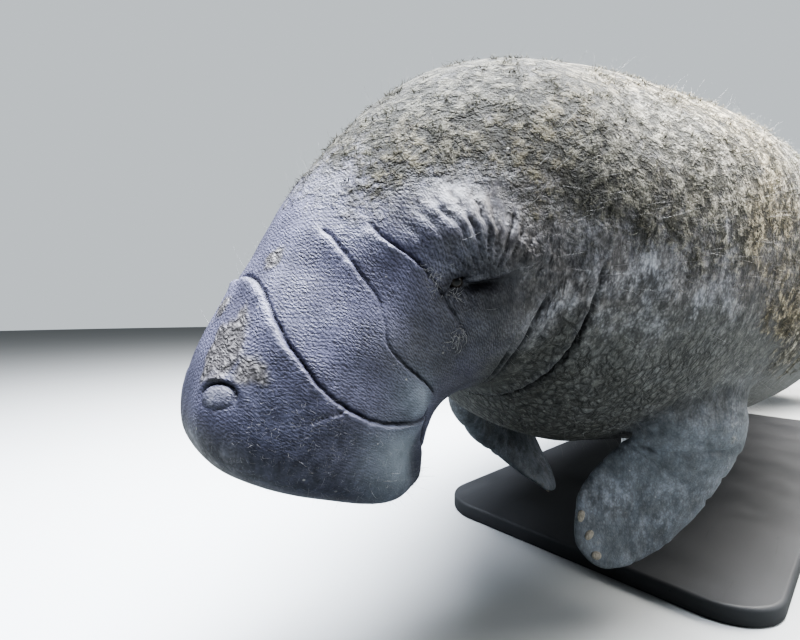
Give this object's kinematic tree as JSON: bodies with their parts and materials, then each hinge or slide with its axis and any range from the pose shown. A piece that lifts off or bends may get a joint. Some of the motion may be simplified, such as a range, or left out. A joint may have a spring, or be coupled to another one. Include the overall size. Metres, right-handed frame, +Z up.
{
  "type": "manatee",
  "caption": "Life-size still model of a manatee hovering with its head bowed and flippers down, held up on a flat display base by short rods.",
  "frame": {"origin": "on the underside of the stand's base, under the middle of the whole model's bounding box", "axes": "+Z up; the snout points along -X and the tail along +X; the animal's left side faces -Y"},
  "size_m": [2.9564, 0.6996, 0.8268],
  "materials": {
    "hide": "thick wrinkled hide, blue-grey on the snout, tan algae over grey on the head and back",
    "eye": "wet and dark",
    "nail": "worn pale horn",
    "stand_board": "board painted matt dark grey",
    "stand_steel": "brushed steel tube"
  },
  "bodies": {
    "root": {"snout": "hide", "lower_jaw": "hide", "head": "hide", "neck": "hide", "chest": "hide", "belly": "hide", "loins": "hide", "tail_stock": "hide", "tail_paddle": "hide", "flipper_left": "hide", "flipper_right": "hide", "eye_left": "eye", "eye_right": "eye", "nail_left_1": "nail", "nail_left_2": "nail", "nail_left_3": "nail", "nail_right_1": "nail", "nail_right_2": "nail", "nail_right_3": "nail", "stand_base": "stand_board", "stand_rod_front": "stand_steel", "stand_rod_rear": "stand_steel"}
  },
  "joints": []
}
